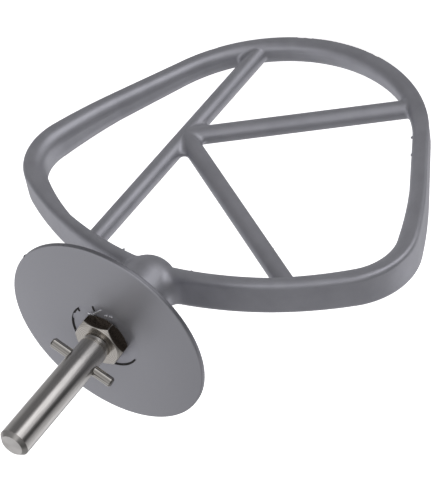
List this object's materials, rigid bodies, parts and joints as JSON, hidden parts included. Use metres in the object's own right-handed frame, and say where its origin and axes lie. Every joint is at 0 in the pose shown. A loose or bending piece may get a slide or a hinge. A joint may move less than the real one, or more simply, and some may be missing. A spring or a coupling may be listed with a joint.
{
  "type": "stand mixer flat beater",
  "caption": "Cast flat beater for a stand mixer: K-shaped frame in a tapering loop, round splash plate, lock nut and a drive shaft with a cross pin.",
  "frame": {"origin": "on the shaft axis where the ground seat of the shank begins, just beyond the cross pin", "axes": "+Z along the shaft towards the mixer, X across the loop, Y through the loop's depth"},
  "size_m": [0.1396, 0.067, 0.1942],
  "materials": {
    "frame_casting": "satin blasted casting",
    "plate_sheet": "satin",
    "nut_steel": "machined stainless",
    "shaft_steel": "turned stainless",
    "pin_steel": "ground stainless"
  },
  "bodies": {
    "root": {"beater_frame": "frame_casting", "splash_plate": "plate_sheet", "lock_nut": "nut_steel", "drive_shaft": "shaft_steel", "drive_pin": "pin_steel"}
  },
  "joints": []
}
